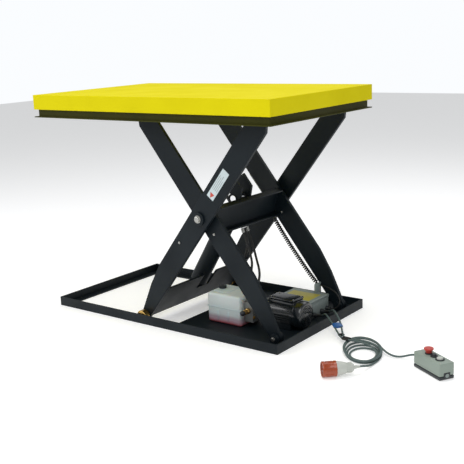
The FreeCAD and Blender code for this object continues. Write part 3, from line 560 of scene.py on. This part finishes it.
hoseThick = 0.0055
hoseStarts = [(0.338, -0.132, -0.020), (0.356, -0.096, 0.014)]
hosePieces = []
for number, (x, y, lastY) in enumerate(hoseStarts):
    run = [(x, y, 0.140), (x, y, 0.168), (x + 0.002, y + 0.022, 0.206),
           (x - 0.018, y + 0.050, 0.236), (0.305, (y + 0.050 + lastY) / 2, 0.262),
           (0.276, lastY - 0.004, 0.292), (0.262, lastY, 0.328), (0.247, lastY, 0.365),
           (0.234, lastY, 0.403)]
    hose = meshTube("hose%d" % (number + 1), run, hoseThick, "rubber", None)
    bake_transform(hose)
    hosePieces.append(hose)
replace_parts(hosePieces[0], "hydraulic_hoses")
loopRun = [(0.108, 0, 0.254), (0.134, -0.001, 0.240), (0.166, -0.002, 0.232),
           (0.198, -0.003, 0.238), (0.223, -0.003, 0.260), (0.240, -0.003, 0.292),
           (0.247, -0.003, 0.328), (0.244, -0.003, 0.366), (0.235, -0.003, 0.403)]
hoseLoop = meshTube("hoseLoop", loopRun, hoseThick, "rubber", None)
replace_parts(hoseLoop, "hose_loop")
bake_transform(hoseLoop)
print("hoses and curly cord wound")

# steelwork from the CAD, with rounded edges
steelNodes = {
    "base": ["base_rail_near", "base_rail_far", "base_end_left", "base_end_right", "power_tray",
             "base_pivot_lugs"],
    "inner_arms": ["inner_arm_near", "inner_arm_far", "centre_cross_member", "rod_bracket"],
    "outer_arms": ["outer_arm_near", "outer_arm_far", "lower_cross_plate"],
    "platform": ["top_rails", "top_pivot_lugs"],
    "cylinder": ["cylinder_barrel", "cylinder_gland"],
}
for body, names in steelNodes.items():
    for name in names:
        softened(name, "steel", 0.0012, body)
softened("platform_deck", "yellow", 0.0014, "platform")
softened("trip_bars_long", "olive", 0.0008, "trip_frame")
softened("trip_bars_short", "olive", 0.0008, "trip_frame")
softened("trip_switches", "dark", 0.0010, "platform")
for name, body in (("base_pivot_pins", "base"), ("top_pivot_pins", "platform"),
                   ("centre_pins", "inner_arms"), ("upper_roller_axles", "inner_arms"),
                   ("lower_roller_axles", "outer_arms"), ("cylinder_pin", "outer_arms")):
    softened(name, "steel", 0.0010, body)
for name, body in (("lower_roller_near", "roller_low_near"), ("lower_roller_far", "roller_low_far"),
                   ("upper_roller_near", "roller_top_near"),
                   ("upper_roller_far", "roller_top_far")):
    softened(name, "brass", 0.0015, body)
softened("cylinder_rod", "chrome", 0.0008, "ram")
softened("valve_block", "alloy", 0.0015, "base")
softened("hose_fittings", "pin", 0.0008, "base")
softened("cable_glands", "dark", 0.0010, "base")
softened("cord_clip", "dark", 0.0012, "inner_arms")
softened("plug_pins", "brass", 0.0006, "base")
print("steelwork dressed")


# bolts and small steel
def boltsFor(name, body, bolts, finish="pin"):
    bm = bmesh.new()
    for place, axis, size, world in bolts:
        hexBolt(bm, place, axis, size, world)
    return finished(name, bm, finish, body, angle=30)


flat = Matrix.Identity(4)
bolts = {"centre": 0.013, "brace": 0.007, "keeper": 0.0045, "plate": 0.006, "pin": 0.008,
         "braceFace": 0.068, "braceRows": (0.065, 0.125, -0.065, -0.125)}
boltsFor("centreBolts", "inner_arms",
         [((0, side * 0.3110, 0), (0, side, 0), bolts["centre"], innerFrame) for side in (-1, 1)]
         + [((bolts["braceFace"], y, 0), (0, 0, -1), bolts["brace"], braceFrame)
            for y in bolts["braceRows"]])
boltsFor("keeperBolts", "outer_arms",
         [((-0.020, -0.3025, -0.010), (0, -1, 0), bolts["keeper"], outerFrame),
          ((-0.160, -0.3025, 0.020), (0, -1, 0), bolts["keeper"], outerFrame)]
         + [((-0.500, y, -0.040), (0, 0, 1), bolts["plate"], outerFrame) for y in (-0.154, 0.154)])
boltsFor("farKeeperBolts", "inner_arms",
         [((0.080, y, -0.012), (0, -1, 0), bolts["keeper"], innerFrame) for y in (0.2415, -0.2585)])
boltsFor("pinBolts", "base", [((0.561, side * 0.2760, 0.0313), (0, side, 0), bolts["pin"], flat)
                              for side in (-1, 1)])

# power pack in the tray
motor = {"y": -0.055, "z": 0.070, "start": 0.400, "end": 0.545, "radius": 0.0575,
         "ribs": 34, "ribDeep": 0.0045, "ribHalf": 0.0012, "footIn": 0.018,
         "feet": ((-0.044, -0.026), (0.026, 0.044))}
alongX = Matrix.Rotation(pi / 2, 4, "Y")
motorFrame = Matrix.Translation((motor["start"], motor["y"], motor["z"])) @ alongX


# the ribbed cast housing with its two end shields
def motorBody():
    low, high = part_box("motor_body")
    bm = bmesh.new()
    core = motor["radius"] - motor["ribDeep"]
    long = motor["end"] - motor["start"]
    lathed(bm, [(0, 0), (0.030, 0), (0.034, 0.003), (core + 0.002, 0.003),
                (motor["radius"], 0.006), (motor["radius"], 0.016), (core, 0.019),
                (core, long - 0.019), (motor["radius"], long - 0.016),
                (motor["radius"], long - 0.003), (core + 0.002, long), (0, long)],
           motorFrame, 64)
    for i in range(motor["ribs"]):
        angle = 2 * pi * i / motor["ribs"]
        turn = motorFrame @ Matrix.Rotation(angle, 4, "Z")
        blocked(bm, (core - 0.002, -motor["ribHalf"], 0.017),
                (motor["radius"] - 0.0004, motor["ribHalf"], long - 0.017), turn)
    footTop = motor["z"] - core + 0.024
    for near, far in motor["feet"]:
        blocked(bm, (low[0] + motor["footIn"], motor["y"] + near, low[2]),
                (high[0] - motor["footIn"], motor["y"] + far, footTop), round_=0.0015)
    return finished("motorRibbed", bm, "motor", "base", 0.0005)


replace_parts(motorBody(), "motor_body")


cowl = {"rings": 4, "outermost": 0.044, "ringStep": 0.009, "slot": 0.0025, "slotDeep": 0.0034,
        "face": 0.0006}


# fan cover with ring slots in its end
def fanCover():
    low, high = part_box("fan_cover")
    radius = (high[1] - low[1]) / 2
    long = high[0] - low[0]
    centre = Matrix.Translation((low[0], (low[1] + high[1]) / 2, (low[2] + high[2]) / 2)) @ alongX
    bm = bmesh.new()
    face = long - cowl["face"]
    bottom = face - cowl["slotDeep"]
    profile = [(0, 0), (radius - 0.001, 0), (radius, 0.001), (radius, long - 0.010),
               (radius - 0.004, long - 0.003), (radius - 0.011, face)]
    for ring in range(cowl["rings"]):
        outside = cowl["outermost"] - ring * cowl["ringStep"]
        inside = outside - cowl["slot"]
        profile += [(outside, face), (outside, bottom), (inside, bottom), (inside, face)]
    profile[-1] = (inside, long)  # the hub stands a little proud
    lathed(bm, profile + [(0, long)], centre, 56)
    return finished("fanCowl", bm, "motor", "base", 0.0004)


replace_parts(fanCover(), "fan_cover")


# a cast or moulded box whose lid has its own edge, with screws at the corners
def lidded(name, node, finish, body, split, round_, screws, inset=0.009, overhang=0.0012):
    low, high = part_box(node)
    bm = bmesh.new()
    seam = low[2] + (high[2] - low[2]) * split
    blocked(bm, (low[0] + overhang, low[1] + overhang, low[2]),
            (high[0] - overhang, high[1] - overhang, seam), round_=round_, segments=3)
    blocked(bm, (low[0], low[1], seam + 0.0008), (high[0], high[1], high[2] - screws * 0.4),
            round_=round_, segments=3)
    piece = finished(name, bm, finish, body, 0.0, 40)
    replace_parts(piece, node)
    if screws:
        heads = bmesh.new()
        for x in (low[0] + inset, high[0] - inset):
            for y in (low[1] + inset, high[1] - inset):
                roundScrew(heads, (x, y, high[2] - screws * 0.6), (0, 0, 1), screws)
        finished(name + "Screws", heads, "pin", body, 0.0, 30)
    return piece


lidded("terminalBox", "motor_terminal_box", "motor", "base", 0.62, 0.004, 0.0042)


tankShape = {"seam": 0.52, "seamHigh": 0.003, "corner": 0.012, "bars": (0.055, 0.110),
             "barWide": 0.010}


# two mouldings welded at a seam, with bars on the near face and a raised pad on top
def tankPiece():
    low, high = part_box("oil_tank")
    bm = bmesh.new()
    blocked(bm, (low[0] + 0.002, low[1] + 0.002, low[2]),
            (high[0] - 0.002, high[1] - 0.002, high[2] - 0.003), round_=tankShape["corner"],
            segments=4)
    seam = low[2] + (high[2] - low[2]) * tankShape["seam"]
    blocked(bm, (low[0], low[1], seam), (high[0], high[1], seam + tankShape["seamHigh"]),
            round_=0.0012)
    for along in tankShape["bars"]:
        x = low[0] + along
        blocked(bm, (x, low[1] + 0.0005, low[2] + 0.014),
                (x + tankShape["barWide"], low[1] + 0.004, seam - 0.012), round_=0.0012)
    blocked(bm, (low[0] + 0.020, low[1] + 0.030, high[2] - 0.006),
            (low[0] + 0.095, high[1] - 0.030, high[2]), round_=0.0022)
    return finished("tankMoulding", bm, "tank", "base", 0.0, 40)


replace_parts(tankPiece(), "oil_tank")


capGrips = 20


# filler cap with finger grips and a small vent in its middle
def capPiece():
    low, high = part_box("tank_cap")
    place = Matrix.Translation(((low[0] + high[0]) / 2, (low[1] + high[1]) / 2, low[2]))
    radius = (high[0] - low[0]) / 2
    tall = high[2] - low[2]
    bm = bmesh.new()
    lathed(bm, [(0, 0), (radius - 0.001, 0), (radius - 0.001, tall * 0.8),
                (radius - 0.0035, tall * 0.96), (radius * 0.45, tall * 0.96),
                (radius * 0.42, tall * 0.84), (radius * 0.2, tall * 0.84),
                (radius * 0.18, tall), (0, tall)], place, 48)
    for i in range(capGrips):
        turn = place @ Matrix.Rotation(2 * pi * i / capGrips, 4, "Z")
        blocked(bm, (radius - 0.003, -0.0012, tall * 0.08), (radius - 0.0001, 0.0012, tall * 0.76),
                turn)
    return finished("tankCapGrips", bm, "dark", "base", 0.0, 40)


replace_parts(capPiece(), "tank_cap")


# plugs, a relief screw and elbow nuts on the valve block and hoses
def valveFittings():
    brassBits = bmesh.new()
    lathed(brassBits, [(0, 0), (0.0075, 0), (0.0075, 0.006), (0.005, 0.008), (0.0085, 0.012),
                       (0.009, 0.017), (0.006, 0.022), (0, 0.0235)],
           aimed((0.345, -0.113, 0.118), (0, 0, 1)), 28)
    for y in (-0.145, -0.070):
        hexBolt(brassBits, (0.3725, y, 0.052), (1, 0, 0), 0.006)
    finished("valvePlugs", brassBits, "brass", "base", 0.0, 30)
    steelBits = bmesh.new()
    for x, y in ((0.332, -0.078), (0.366, -0.113), (0.332, -0.158)):
        hexBolt(steelBits, (x, y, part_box("valve_block")[1][2] - 0.001), (0, 0, 1), 0.0048)
    finished("valveScrews", steelBits, "pin", "base", 0.0, 30)


valveFittings()


# the small valve on the near side of the block: body, olive ring and dark knob
def handValve():
    low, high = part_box("solenoid_valve")
    middle = ((low[0] + high[0]) / 2, high[1], (low[2] + high[2]) / 2)
    where = aimed(middle, (0, -1, 0))
    long = high[1] - low[1]
    wide = (high[0] - low[0]) / 2
    bm = bmesh.new()
    lathed(bm, [(0, 0), (wide, 0), (wide, 0.010), (wide * 0.72, 0.012), (wide * 0.72, 0.020),
                (wide * 0.94, 0.022), (wide * 0.94, 0.030), (wide * 0.6, 0.032), (0, 0.032)],
           where, 36)
    piece = finished("valveCartridge", bm, "brass", "base", 0.0, 35)
    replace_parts(piece, "solenoid_valve")
    bm = bmesh.new()
    lathed(bm, [(0, 0.031), (wide * 0.45, 0.031), (wide * 0.8, 0.034), (wide * 0.98, 0.040),
                (wide * 0.88, 0.046), (wide * 0.5, long - 0.001), (0, long)], where, 36)
    finished("valveKnob", bm, "dark", "base", 0.0, 50)


handValve()


# crimped sleeves and nuts where each hose meets its fitting
def ferrules():
    for name, body, ends in (
            ("ferrulesLow", "base", [((x, y, 0.1405), (0, 0, 1)) for x, y, _ in hoseStarts]),
            ("ferrulesHigh", "inner_arms",
             [((0.234, lastY, 0.4035), (0.28, 0, -0.96)) for _, _, lastY in hoseStarts]),
            ("ferruleLoop", "outer_arms", [((0.1085, 0, 0.2537), (0.88, 0, -0.47))])):
        bm = bmesh.new()
        for place, axis in ends:
            where = aimed(place, axis)
            lathed(bm, [(0.0058, 0.0), (0.0078, 0.0004), (0.0078, 0.006), (0.0070, 0.007),
                        (0.0076, 0.010), (0.0070, 0.013), (0.0076, 0.016), (0.0070, 0.019),
                        (0.0058, 0.0205), (0.0058, 0.0)], where, 24)
        finished(name, bm, "pin", body, 0.0, 35)


ferrules()
leadRoute = [(0.226, 0.2330, 0.420), (0.222, 0.2325, 0.440), (0.214, 0.2320, 0.462),
             (0.196, 0.2318, 0.482), (0.172, 0.2315, 0.508), (0.140, 0.2310, 0.548),
             (0.100, 0.2305, 0.596)]
topLead = meshTube("topLead", leadRoute, 0.0018, "leadGrey", "inner_arms")

# control box and its label
lidded("controlCase", "control_box", "boxGrey", "base", 0.94, 0.004, 0.0)


def controlLid():
    low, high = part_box("control_box")
    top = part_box("control_box_lid")[1]
    bm = bmesh.new()
    blocked(bm, (low[0], low[1], high[2]), (high[0], high[1], high[2] + 0.010), round_=0.003,
            segments=3)
    blocked(bm, (0.466, 0.190, high[2] + 0.002), (0.472, 0.241, top[2]), round_=0.002)
    lid = finished("controlLid", bm, "boxGrey", "base", 0.0, 40)
    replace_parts(lid, "control_box_lid")
    screws = bmesh.new()
    for x in (low[0] + 0.012, high[0] - 0.012):
        for y in (low[1] + 0.012, high[1] - 0.012):
            roundScrew(screws, (x, y, high[2] + 0.0095), (0, 0, 1), 0.0045)
    finished("controlLidScrews", screws, "pin", "base", 0.0, 30)
    label = bmesh.new()
    blocked(label, (low[0] + 0.020, low[1] + 0.020, high[2] + 0.0098),
            (low[0] + 0.165, low[1] + 0.125, high[2] + 0.0104), round_=0.0002)
    finished("controlLabel", label, "labelYellow", "base", 0.0, 40)


controlLid()

# pendant control


def pendantPieces():
    half, wide, seam = pendant["long"] / 2, pendant["wide"] / 2, pendant["base"]
    bm = bmesh.new()
    blocked(bm, (-half, -wide, 0.0008), (half, wide, seam - 0.0008), pendantFrame, 0.003, 3)
    blocked(bm, (half - 0.004, -0.014, 0.004), (half + 0.0015, 0.014, 0.027), pendantFrame,
            0.0015)
    base = finished("pendantTray", bm, "dark", "base", 0.0, 40)
    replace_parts(base, "pendant_base")
    bm = bmesh.new()
    blocked(bm, (-half, -wide, seam), (half, wide, pendant["top"]), pendantFrame, 0.0045, 4)
    for y in (-wide, wide):
        blocked(bm, (-half + 0.012, y - 0.0006, seam + 0.006),
                (half - 0.012, y + 0.0006, seam + 0.008), pendantFrame, 0.0003)
    lid = finished("pendantCover", bm, "pendantGrey", "base", 0.0, 40)
    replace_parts(lid, "pendant_lid")
    bm = bmesh.new()
    lathed(bm, [(0, 0), (0.011, 0), (0.011, 0.004), (0.0095, 0.005), (0.0095, 0.010),
                (0.0075, 0.014), (0.0055, 0.0175), (0.0045, 0.018), (0, 0.018)],
           pendantFrame @ aimed((-half + 0.001, 0, pendant["cordHigh"]), (-1, 0, 0)), 28)
    finished("pendantGland", bm, "dark", "base", 0.0, 40)
    bm = bmesh.new()
    lathed(bm, [(0, 0), (0.0075, 0), (0.0075, 0.0014), (0.0062, 0.0020), (0.0055, 0.0012),
                (0.002, 0.0012), (0, 0.0012)],
           pendantFrame @ aimed((half + 0.001, 0, 0.0155), (1, 0, 0)), 28)
    finished("pendantBlank", bm, "boxGrey", "base", 0.0, 40)
    screws = bmesh.new()
    for x in (-half + pendant["inset"], half - pendant["inset"]):
        for y in (-wide + pendant["inset"], wide - pendant["inset"]):
            roundScrew(screws, (x, y, pendant["top"] - 0.0012), (0, 0, 1), 0.0036, pendantFrame)
    finished("pendantScrews", screws, "pin", "base", 0.0, 30)


pendantPieces()
softened("button_collars", "dark", 0.0008, "base")


# turns a button from shares of its node's width and height
def buttonPiece(node, finish, body, profile):
    low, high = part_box(node)
    radius = (high[0] - low[0]) / 2
    tall = high[2] - low[2]
    bm = bmesh.new()
    lathed(bm, [(radius * r, tall * z) for r, z in profile],
           Matrix.Translation(((low[0] + high[0]) / 2, (low[1] + high[1]) / 2, low[2])), 48)
    piece = finished(node + "_turned", bm, finish, body, 0.0, 35)
    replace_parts(piece, node)
    return piece


keyProfile = [(0, 0), (0.97, 0), (0.97, 0.90), (0.90, 0.97), (0.80, 1), (0.70, 0.94), (0, 0.93)]
buttonPiece("estop_button", "red", "estop",
            [(0, 0), (0.5, 0), (0.5, 0.42), (0.66, 0.50), (0.74, 0.66), (0.90, 0.80), (1, 0.86),
             (1, 0.94), (0.94, 0.99), (0.80, 1), (0.5, 0.98), (0, 0.97)])
buttonPiece("raise_button", "dark", "raise_key", keyProfile)
buttonPiece("lower_button", "plugLight", "lower_key", keyProfile)

# plug on the supply cord
def plugPieces():
    bm = bmesh.new()
    lathed(bm, [(0.0262, 0.050), (0.0255, 0.003), (0.0270, 0.0004), (0.0288, 0.0004),
                (0.0293, 0.003), (0.0293, 0.010), (0.0280, 0.012), (0.0282, 0.044),
                (0.0293, 0.046), (0.0293, 0.0535), (0.0262, 0.0535), (0, 0.0535), (0, 0.050),
                (0.0262, 0.050)], plugFrame @ alongX, 56)
    for i in range(plug["ribs"]):
        turn = plugFrame @ alongX @ Matrix.Rotation(2 * pi * i / plug["ribs"], 4, "Z")
        blocked(bm, (0.0276, -0.0016, 0.014), (0.0290, 0.0016, 0.042), turn)
    shroud = finished("plugShell", bm, "plugRed", "base", 0.0, 35)
    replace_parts(shroud, "plug_shroud")
    low, high = plug["gripStart"], plug["gripEnd"]
    bm = bmesh.new()
    lathed(bm, [(0, low), (0.0275, low), (0.0275, 0.062), (0.0262, 0.066), (0.0215, 0.088),
                (0.0205, 0.0905), (0.0178, 0.0905), (0.0178, 0.112), (0.0150, 0.116),
                (0.0105, high), (0, high)], plugFrame @ alongX, 48)
    for i in range(plug["grips"]):
        turn = plugFrame @ alongX @ Matrix.Rotation(2 * pi * i / plug["grips"], 4, "Z")
        blocked(bm, (0.0170, -0.0011, 0.092), (0.0188, 0.0011, 0.111), turn)
    body = finished("plugGrip", bm, "plugLight", "base", 0.0, 35)
    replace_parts(body, "plug_body")
    return shroud, body


plugShell, plugGrip = plugPieces()

# tapered strain reliefs follow the first run of each cord
def relief(name, points, wide, thin, finish, body="base"):
    curve = curveOf(name + "Line", points, 1.0, 4)
    for i, point in enumerate(curve.data.splines[0].points):
        share = i / (len(points) - 1)
        point.radius = wide * (1 - share) + thin * share
    bpy.context.view_layer.update()
    graph = bpy.context.evaluated_depsgraph_get()
    mesh = bpy.data.meshes.new_from_object(curve.evaluated_get(graph))
    bpy.data.objects.remove(curve)
    bm = bmesh.new()
    bm.from_mesh(mesh)
    bpy.data.meshes.remove(mesh)
    return finished(name, bm, finish, body, 0.0, 60)


supplyLine, pendantLine = routeOf(supplyRoute), routeOf(pendantRoute)


# even points on a line from a distance along it
def stretchOf(line, start, length, steps=6):
    found, walked = [], 0.0
    wanted = [start + length * i / steps for i in range(steps + 1)]
    for a, b in zip(line, line[1:]):
        span = (b - a).length
        while wanted and walked + span >= wanted[0]:
            found.append(a.lerp(b, (wanted[0] - walked) / span))
            wanted.pop(0)
        walked += span
    return found


supplyRelief = relief("supplyRelief", stretchOf(supplyLine, 0.001, 0.034), 0.0075, 0.0048, "rubber")
pendantRelief = relief("pendantRelief", stretchOf(pendantLine, 0.001, 0.034), 0.0075, 0.0048,
                       "rubber")
plugRelief = relief("plugRelief", stretchOf(supplyLine[::-1], 0.012, 0.028), 0.0080, 0.0046,
                    "plugLight")
pendantNeck = relief("pendantNeck", stretchOf(pendantLine[::-1], 0.002, 0.030), 0.0072, 0.0048,
                     "dark")


# a band round both cords, drawn as an oval tube between two points
def wrapAround(name, start, end, wide, thick, finish):
    start, end = Vector(start), Vector(end)
    ahead = (end - start).normalized()
    side = ahead.cross(Vector((0, 0, 1))).normalized()
    turn = Matrix((side, ahead.cross(side) * -1, ahead)).transposed().to_4x4()
    long = (end - start).length
    bm = bmesh.new()
    lathed(bm, [(0, 0), (0.9, 0), (1, long * 0.06), (1, long * 0.5), (1, long * 0.94), (0.9, long),
                (0, long)], Matrix.Translation(start) @ turn @ Matrix.Diagonal((wide, thick, 1, 1)),
           32)
    return finished(name, bm, finish, "base", 0.0, 50)


tapeWrap = wrapAround("tapeWrap", (0.696, -0.005, 0.0415), (0.716, -0.025, 0.0355), 0.021, 0.0058,
                      "tape")
tieWrap = wrapAround("tieWrap", (0.751, -0.063, 0.022), (0.756, -0.068, 0.021), 0.0135, 0.0062,
                     "rubber")
sleeveWrap = wrapAround("sleeveWrap", (0.776, -0.086, 0.0185), (0.812, -0.102, 0.0245), 0.0125,
                        0.0078, "rubber")
print("cord ends fitted")

# label on the near outer arm: a plain triangle and four plain bars
label = {"middle": (0.333, 0.6485), "long": 0.145, "wide": 0.038, "thick": 0.0005,
         "mark": 0.014, "markAt": -0.055, "barsAt": -0.030, "firstBar": 0.0125,
         "barStep": 0.0080, "barHalf": 0.0011, "bars": (0.072, 0.066, 0.078, 0.058)}


def armLabel():
    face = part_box("outer_arm_near")[0][1]
    local = outerFrame.inverted() @ Vector((label["middle"][0], face, label["middle"][1]))
    place = outerFrame @ Matrix.Translation(local)
    bm = bmesh.new()
    blocked(bm, (-label["long"] / 2, -label["thick"], -label["wide"] / 2),
            (label["long"] / 2, 0.0001, label["wide"] / 2), place, 0.0001, 1)
    finished("armLabel", bm, "labelWhite", "outer_arms")
    bm = bmesh.new()
    made = bmesh.ops.create_cone(bm, cap_ends=True, segments=3, radius1=label["mark"],
                                 radius2=label["mark"], depth=0.0004)["verts"]
    turn = (place @ Matrix.Translation((label["markAt"], -label["thick"], 0))
            @ Matrix.Rotation(pi / 2, 4, "X") @ Matrix.Rotation(pi / 2, 4, "Z"))
    bmesh.ops.transform(bm, matrix=turn, verts=made)
    finished("armLabelMark", bm, "labelRed", "outer_arms")
    bm = bmesh.new()
    for row, width in enumerate(label["bars"]):
        z = label["firstBar"] - row * label["barStep"]
        blocked(bm, (label["barsAt"], -label["thick"] - 0.0002, z - label["barHalf"]),
                (label["barsAt"] + width, -label["thick"] + 0.0001, z + label["barHalf"]), place)
    finished("armLabelRules", bm, "leadGrey", "outer_arms")


armLabel()

for node in nodes.values():
    if not node.data.materials:
        node.data.materials.append(finishes["steel"])
print("pieces dressed")


studioSet = {"floorHalf": 12, "floorGlow": 0.30, "worldLight": 0.42, "worldSeen": 1.0,
             "lamps": (((2.2, -2.6, 3.4), 2.6, 75), ((-2.6, -2.4, 2.8), 2.4, 60),
                       ((0, 0, 4.2), 2.0, 60), ((0.5, 2.8, 3.2), 2.4, 25))}


# floor, backdrop and soft studio light
def studio():
    bm = bmesh.new()
    bmesh.ops.create_grid(bm, x_segments=1, y_segments=1, size=studioSet["floorHalf"])
    mesh = bpy.data.meshes.new("floor")
    bm.to_mesh(mesh)
    bm.free()
    floor = bpy.data.objects.new("floor", mesh)
    floor.location.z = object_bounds()[0][2] - 0.0005
    bpy.context.scene.collection.objects.link(floor)
    pale = shaded("paleFloor", (0.86, 0.86, 0.86), (0.84, 0.84, 0.84), rough=(0.6, 0.7), bump=0.0)
    glow = pale.node_tree.nodes["Principled BSDF"]
    glow.inputs["Emission Color"].default_value = (1, 1, 1, 1)
    glow.inputs["Emission Strength"].default_value = studioSet["floorGlow"]
    floor.data.materials.append(pale)
    world = bpy.data.worlds.new("studioWorld")
    bpy.context.scene.world = world
    world.use_nodes = True
    tree = world.node_tree
    light = tree.nodes["Background"]
    light.inputs["Color"].default_value = (0.96, 0.98, 1, 1)
    # white behind the table, softer light on it
    seen = ranged(tree, joined(tree, "ShaderNodeLightPath").outputs["Is Camera Ray"], 0, 1,
                  studioSet["worldLight"], studioSet["worldSeen"])
    tree.links.new(seen, light.inputs["Strength"])
    for place, size, power in studioSet["lamps"]:
        data = bpy.data.lights.new("softLight", "AREA")
        data.energy = power
        data.size = size
        lamp = bpy.data.objects.new("softLight", data)
        lamp.location = place
        aim = Vector((0, 0, 0.5)) - Vector(place)
        lamp.rotation_euler = aim.to_track_quat("-Z", "Y").to_euler()
        bpy.context.scene.collection.objects.link(lamp)


studio()
print("studio lit")
